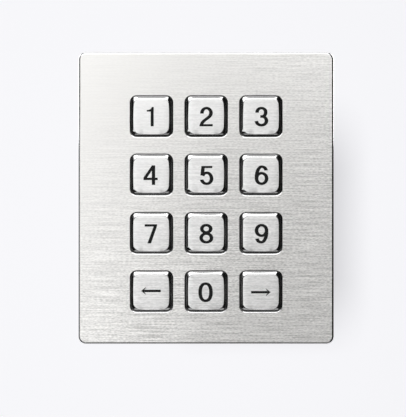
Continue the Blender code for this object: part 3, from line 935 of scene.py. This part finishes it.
SLOT_SWING = 0.35  # how far a slot is turned at most, in radians


def box_cutter(name, x, half_width, depths, heights, corner, floor=0.0):
    """A cutting block about x. Its edges along Y are rounded by corner, and its front ones by floor."""
    centre = (x, (heights[0] + heights[1]) / 2)
    outline = rounded(2 * half_width, heights[1] - heights[0], corner, centre, 4)
    return flat(name, outline, side(*depths, floor, 0, 4))


def mouth(radius, front, back, edge, past):
    """The profile of a hole from its front to past the back, with a broken edge at the back."""
    return [(radius, front), (radius, back - edge), (radius + edge + past, back + past), (0, back + past)]


def cover_inside():
    """The outline of the inside of the cover's walls."""
    width, height = size("rear_cover")
    return rounded(width - 2 * COVER_WALL, height - 2 * COVER_WALL, COVER_CORNER - COVER_WALL, steps=6)


def make_cover():
    """The moulded shell: screw bosses, a notch for the wires, the plunger's bore and a label field."""
    front, back = span("rear_cover")
    width, height = size("rear_cover")
    outline = rounded(width, height, COVER_CORNER, steps=10)
    cover = flat("moulded_cover", outline, side(front, back, 0.2 * MM, 1.3 * MM, 7))
    cut(cover, flat("inside", cover_inside(), side(front - CLEAR, back - COVER_BACK_WALL, 0, 0.6 * MM, 3)))
    foot = back - COVER_BACK_WALL / 2
    boss = [(0, BOSS_FRONT), (BOSS_RADIUS - BOSS_EDGE, BOSS_FRONT), (BOSS_RADIUS, BOSS_FRONT + BOSS_EDGE)]
    boss += [(BOSS_RADIUS, foot), (0, foot)]
    seat = back - POCKET_DEPTH
    pocket = [(0, seat - 4 * MM), (STUD_HOLE, seat - 4 * MM), (STUD_HOLE, seat)]
    pocket += mouth(POCKET_RADIUS, seat, back, 0.3 * MM, 0.4 * MM)
    for number in CORNERS:
        place = middle(f"cover_screw_{number}")
        cut(cover, turned("boss", boss, place), "UNION")
        cut(cover, turned("pocket", pocket, place))
    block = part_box("terminal_block")[1]
    heights = (-height / 2 - CLEAR, block.z + NOTCH_GAP)
    cut(cover, box_cutter("notch", 0, block.x + NOTCH_GAP, (NOTCH_FRONT, back + CLEAR), heights, 0.8 * MM))
    steps = [(0, back - CLEAR)] + mouth(PLUNGER_BORE, back - CLEAR, back, 0.4 * MM, 0.5 * MM)
    cut(cover, turned("plunger_bore", steps, middle("tamper_plunger"), 32))
    depths = (back - LABEL_DEPTH, back + 1 * MM)
    heights = (LABEL_MIDDLE - LABEL_HALF[1], LABEL_MIDDLE + LABEL_HALF[1])
    cut(cover, box_cutter("label_field", 0, LABEL_HALF[0], depths, heights, 1.2 * MM, 0.1 * MM))
    reshade(cover)
    soften(cover, 0.12 * MM)
    bake(cover)
    install(cover, "housing", ["rear_cover"], "black_plastic", PLASTIC)


def make_seal():
    """The rubber ring in front of the cover's edge."""
    outline = rounded(*size("rear_cover"), COVER_CORNER, steps=8)
    seal = flat("rim_seal", outline, side(*span("cover_seal"), SEAL_EDGE, SEAL_EDGE, 4), [cover_inside()])
    install(seal, "housing", ["cover_seal"], "gasket_rubber", RUBBER)


def make_gasket():
    """The rubber sheet between plate and panel, open for the cover and the studs."""
    width, height = size("rear_cover")
    holes = [rounded(width + 2 * GASKET_GAP, height + 2 * GASKET_GAP, COVER_CORNER, steps=10)]
    holes += [polygon(GASKET_HOLE, 32, middle(f"mounting_stud_{number}")) for number in CORNERS]
    outline = rounded(*size("panel_gasket"), GASKET_CORNER, steps=10)
    gasket = flat("panel_seal", outline, side(*span("panel_gasket"), SEAL_EDGE, SEAL_EDGE, 4), holes)
    install(gasket, "housing", ["panel_gasket"], "gasket_rubber", RUBBER)


def slot_outline(place, turn):
    """The outline of a screwdriver's slot, turned by an angle."""
    c, s = math.cos(turn), math.sin(turn)

    def points(inset=0.0):
        u, v = SLOT_HALF[0] - inset, SLOT_HALF[1] - inset
        corners = ((u, v), (-u, v), (-u, -v), (u, -v))
        return [(place[0] + c * x - s * z, place[1] + s * x + c * z) for x, z in corners]

    return points


def terminal_cutters(low, high, pole, place):
    """What one wire needs cut out: its hole, the hole's wide mouth, and the screw's well."""
    x = place[0]
    floor = high.y - WELL_DEPTH
    hole_depths = (low.y + 2.3 * MM, low.y + 4.9 * MM)
    hole_heights = (low.z - 2 * MM, low.z + 4.5 * MM)
    funnel_depths = (low.y + 2.0 * MM, low.y + 5.2 * MM)
    funnel_heights = (low.z - 2 * MM, low.z + 0.5 * MM)
    well = [(0, floor), (WELL_RADIUS, floor), (WELL_RADIUS, high.y - 0.25 * MM)]
    well += [(WELL_RADIUS + 0.25 * MM, high.y + 0.1 * MM), (0, high.y + 0.1 * MM)]
    return [
        box_cutter(f"wire_hole_{pole}", x, 1.3 * MM, hole_depths, hole_heights, 0.2 * MM),
        box_cutter(f"funnel_{pole}", x, 1.6 * MM, funnel_depths, funnel_heights, 0.4 * MM, 0.3 * MM),
        turned(f"well_{pole}", well, place, 32),
    ]


def make_terminals():
    """The terminal block, with a groove between the poles, and its eight slotted clamp screws."""
    low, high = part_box("terminal_block")
    centre = middle("terminal_block")
    outline = rounded(high.x - low.x, high.z - low.z, 0.3 * MM, centre, 4)
    block = flat("terminal_body", outline, side(low.y, high.y, 0.2 * MM, 0.4 * MM, 4))
    cutters, screws, slots = [], [], []
    top = high.y - CLAMP_SUNK
    foot = high.y - WELL_DEPTH + 0.05 * MM
    head = [(0, foot), (CLAMP_RADIUS, foot), (CLAMP_RADIUS, top - CLAMP_EDGE)]
    head += [(CLAMP_RADIUS - CLAMP_EDGE, top), (0, top)]
    for pole in range(POLES):
        place = ((pole - (POLES - 1) / 2) * POLE_PITCH, centre[1] - 0.6 * MM)
        cutters += terminal_cutters(low, high, pole, place)
        screws.append(turned(f"head_{pole}", head, place, 24))
        slot = slot_outline(place, SLOT_SWING * math.sin(3.1 * pole))
        slots.append(flat(f"slot_{pole}", slot, [(0, top - SLOT_DEPTH), (0, top + SLOT_DEPTH)]))
    for gap in range(1, POLES):
        depths = (high.y - 0.3 * MM, high.y + 1 * MM)
        heights = (low.z - 1 * MM, high.z + 1 * MM)
        x = (gap - POLES / 2) * POLE_PITCH
        cutters.append(box_cutter(f"groove_{gap}", x, 0.15 * MM, depths, heights, 0.05 * MM))
    for cutter in cutters:
        cut(block, cutter)
    reshade(block)
    install(block, "housing", ["terminal_block"], "terminal_plastic", TERMINAL)
    clamps = joined("clamp_screws", screws)
    cut(clamps, joined("slots", slots))
    reshade(clamps)
    install(clamps, "housing", [], "plated_steel", PLATED)


# ---- inside

MAT_CORNER = 2.5 * MM
MAT_WEB = 1 * MM
MAT_HOLE = 4.95 * MM
# The half section of a key's spring dome, from its tip back to its foot and in again: radius, depth in mm.
DOME_SHELL = ((0, 0.3), (2.9, 0.3), (3.3, 0.42), (3.55, 0.75), (4.6, 1.85), (4.9, 1.95), (4.9, 2.7))
DOME_SHELL += ((4.35, 2.7), (4.2, 2.3), (3.1, 0.95), (2.2, 0.9), (1.9, 1.15), (1.9, 1.85))
DOME_SHELL += ((1.75, 2.0), (0, 2.0))
CAN_LIP = 0.4 * MM
CAN_GROOVE = 1.9 * MM  # from a capacitor's foot
CAN_DIMPLE = 1.2 * MM
PLUNGER_RADIUS = 1.75 * MM
PLUNGER_DOME = 0.7 * MM
PLUNGER_STEM = 1.1 * MM
FLANGE = (3 * MM, 17.5 * MM, 18.5 * MM)  # radius, front and back
FLANGE_EDGE = 0.15 * MM


def make_mat():
    """The mat's flat web, and a spring dome under every key."""
    back = span("silicone_mat")[1]
    outline = rounded(*size("silicone_mat"), MAT_CORNER)
    holes = [polygon(STUD_HOLE, 32, middle(f"frame_stud_{number}")) for number in CORNERS]
    holes += [polygon(MAT_HOLE, 48, middle(f"key_cap_{name}")) for name in KEY_NAMES]
    web = flat("mat_web", outline, side(back - MAT_WEB, back, 0.15 * MM, 0.15 * MM, 3), holes)
    install(web, "housing", ["silicone_mat"], "silicone", SILICONE)
    profile = [(radius * MM, depth * MM) for radius, depth in DOME_SHELL]
    for name in KEY_NAMES:
        spring = turned(f"dome_{name}", profile, middle(f"key_cap_{name}"), 40, 60)
        install(spring, "housing", [], "silicone", SILICONE)
        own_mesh(spring)


def dress(nodes, material, width, segments=2):
    """CAD nodes that keep their shape: their edges are broken and they get a material."""
    for node in nodes:
        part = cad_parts[node]
        part.data.materials.clear()
        part.data.materials.append(material)
        soften(part, width, segments)


def make_can(node, slot, material, grooved):
    """A round component with a sunk middle, and perhaps a groove near its foot."""
    front, back = span(node)
    radius = size(node)[0] / 2
    profile = [(0, front), (radius - CAN_LIP, front), (radius, front + CAN_LIP)]
    if grooved:
        waist = front + CAN_GROOVE
        profile += [(radius, waist - CAN_LIP), (radius - CAN_LIP, waist), (radius, waist + CAN_LIP)]
    profile += [(radius, back - CAN_LIP), (radius - CAN_LIP / 2, back - CAN_LIP / 4)]
    profile += [(radius - CAN_LIP, back), (CAN_DIMPLE, back)]
    profile += [(CAN_DIMPLE - CAN_LIP / 2, back - CAN_LIP), (0, back - CAN_LIP)]
    install(turned(f"round_{node}", profile, middle(node)), "housing", [node], slot, material)


def make_plunger():
    """The tamper plunger: a stem, the flange that keeps it in the cover, and a round end."""
    front, back = span("tamper_plunger")
    radius, flange_front, flange_back = FLANGE
    profile = [(0, front), (PLUNGER_STEM - 0.2 * MM, front), (PLUNGER_STEM, front + 0.2 * MM)]
    profile += [(PLUNGER_STEM, flange_front), (radius - FLANGE_EDGE, flange_front)]
    profile += [(radius, flange_front + FLANGE_EDGE), (radius, flange_back - FLANGE_EDGE)]
    profile += [(radius - FLANGE_EDGE, flange_back), (PLUNGER_RADIUS, flange_back)]
    profile += dome(PLUNGER_RADIUS, PLUNGER_DOME, back, (0, 0.3, 0.6, 0.9, 1.2)) + [(0, back)]
    plunger = turned("tamper_pin", profile, middle("tamper_plunger"))
    install(plunger, "tamper", ["tamper_plunger"], "black_nylon", NYLON)


def make_inside():
    """The CAD nodes that keep their shape, and the round components."""
    dress([f"key_carrier_{name}" for name in KEY_NAMES], NYLON, 0.15 * MM)
    dress(["key_frame"], PLASTIC, 0.15 * MM)
    dress(["circuit_board"], LAMINATE, 0.1 * MM)
    dress(["controller_chip"], CHIP, 0.15 * MM)
    dress(["tamper_switch"], CHIP, 0.3 * MM)
    dress(["lock_relay"], RELAY, 0.6 * MM, 3)
    make_can("buzzer", "chip_plastic", CHIP, grooved=False)
    make_can("capacitor", "capacitor_sleeve", SLEEVE, grooved=True)
    make_plunger()


# ---- camera, light and ground

VIEW_HEIGHT = 145.2 * MM  # how much of the plate's plane the picture shows, from top to bottom
VIEW_MIDDLE = (-1.1 * MM, -3.66 * MM)
LENS = 100.0
SENSOR = 36.0
FLOOR = -0.3
WALL = 0.6
SWEEP = 0.1
BACKDROP_FRONT = -2.5
BACKDROP_TOP = 1.6
BACKDROP_HALF = 3.0


def make_camera():
    """A camera that looks straight at the plate."""
    front = span("front_plate")[0]
    camera = bpy.data.objects.new("camera", bpy.data.cameras.new("camera"))
    camera.data.lens = LENS
    camera.data.sensor_width = SENSOR
    distance = VIEW_HEIGHT * LENS / SENSOR
    camera.location = (VIEW_MIDDLE[0], front - distance, VIEW_MIDDLE[1])
    camera.rotation_euler = (math.pi / 2, 0, 0)
    bpy.context.scene.collection.objects.link(camera)
    bpy.context.scene.camera = camera


def softbox(name, place, aim, width, height, radiance):
    """A rectangular light whose face has that radiance."""
    lamp = bpy.data.lights.new(name, "AREA")
    lamp.shape = "RECTANGLE"
    lamp.size, lamp.size_y = width, height
    lamp.energy = radiance * math.pi * width * height
    made = bpy.data.objects.new(name, lamp)
    made.visible_camera = False
    made.location = place
    made.rotation_mode = "QUATERNION"
    made.rotation_quaternion = (Vector(aim) - Vector(place)).to_track_quat("-Z", "Y")
    bpy.context.scene.collection.objects.link(made)
    return made


def make_world():
    """A sky that is pale to the camera and nearly black to everything else."""
    scene = bpy.context.scene
    scene.view_settings.view_transform = "Standard"
    world = bpy.data.worlds.new("studio")
    world.use_nodes = True
    tree = world.node_tree
    background = tree.nodes["Background"]
    seen = wire(tree, "LightPath", {}, output="Is Camera Ray")
    sky = shades(tree, seen, (0.012, 0.012, 0.012), (0.94, 0.94, 0.955))
    tree.links.new(sky, background.inputs["Color"])
    scene.world = world


def make_backdrop():
    """A pale floor that sweeps up behind the keypad, with a glow that weakens towards the back."""
    profile = [(BACKDROP_FRONT, FLOOR)]
    profile += arc((WALL - SWEEP, FLOOR + SWEEP), (SWEEP, SWEEP), -90, 0, 8)
    profile.append((WALL, BACKDROP_TOP))
    body = bmesh.new()
    columns = [[body.verts.new((x, y, z)) for y, z in profile] for x in (-BACKDROP_HALF, BACKDROP_HALF)]
    for index in range(len(profile) - 1):
        body.faces.new((columns[0][index], columns[1][index], columns[1][index + 1], columns[0][index + 1]))
    backdrop = finished("backdrop", body)
    backdrop.visible_glossy = False
    backdrop.visible_diffuse = False
    glow = {"Emission Strength": lambda tree: between(tree, coordinate(tree, "Y"), 0.93, 0.62, -0.2, 0.45)}
    paper = new_material("paper", glow, roughness=0.9)
    shader = paper.node_tree.nodes["Principled BSDF"]
    shader.inputs["Base Color"].default_value = (0.8, 0.8, 0.82, 1)
    shader.inputs["Emission Color"].default_value = (0.97, 0.97, 1.0, 1)
    backdrop.data.materials.append(paper)
    return backdrop


def make_lights(backdrop):
    """Soft light, mostly from above and from the left, and one light that throws the shadow."""
    only_backdrop = bpy.data.collections.new("lit_with_the_shadow")
    only_backdrop.objects.link(backdrop)
    not_backdrop = bpy.data.collections.new("lit_without_the_shadow")
    not_backdrop.objects.link(backdrop)
    not_backdrop.collection_objects[0].light_linking.link_state = "EXCLUDE"
    lights = [
        softbox("left_low", (-0.565, -0.85, -0.175), (-0.565, 0, -0.175), 1.07, 0.55, 1.37),
        softbox("left", (-0.55, -0.85, 0.1), (-0.55, 0, 0.1), 0.8, 1.2, 0.38),
        softbox("upper", (-0.1, -0.75, 0.60), (0, 0, 0), 1.0, 0.6, 3.13),
        softbox("right", (0.2, -0.9, 0.1), (0.2, 0, 0.1), 0.22, 1.2, 0.56),
        softbox("right_low", (0.17, -0.85, -0.3), (0.17, 0, -0.3), 0.3, 0.4, 0.28),
        softbox("front", (-0.1, -0.9, 0.1), (-0.1, 0, 0.1), 0.7, 1.0, 0.16),
        softbox("overhead", (0, -0.24, 0.76), (0, 0, 0), 0.5, 0.45, 0.72),
        softbox("bounce", (0, -0.05, -0.28), (0, 0, 0), 0.4, 0.28, 0.6),
        softbox("rear_left", (-0.55, 0.45, 0.3), (0, 0, 0), 0.5, 0.5, 5.0),
        softbox("rear_right", (0.55, 0.45, 0.3), (0, 0, 0), 0.5, 0.5, 5.5),
        softbox("rear_upper", (0, 0.45, 0.6), (0, 0, 0), 0.6, 0.4, 4.0),
    ]
    for light in lights:
        light.light_linking.receiver_collection = not_backdrop
    shadow = softbox("shadow", (-0.089, -1.03, 0.031), (-0.089, 0, 0.031), 0.083, 0.12, 342)
    shadow.data.shape = "ELLIPSE"
    shadow.light_linking.receiver_collection = only_backdrop


make_camera()
make_world()
make_lights(make_backdrop())
make_plate()
make_keys()
make_gasket()
make_cover()
make_seal()
make_terminals()
make_fasteners()
make_mat()
make_inside()
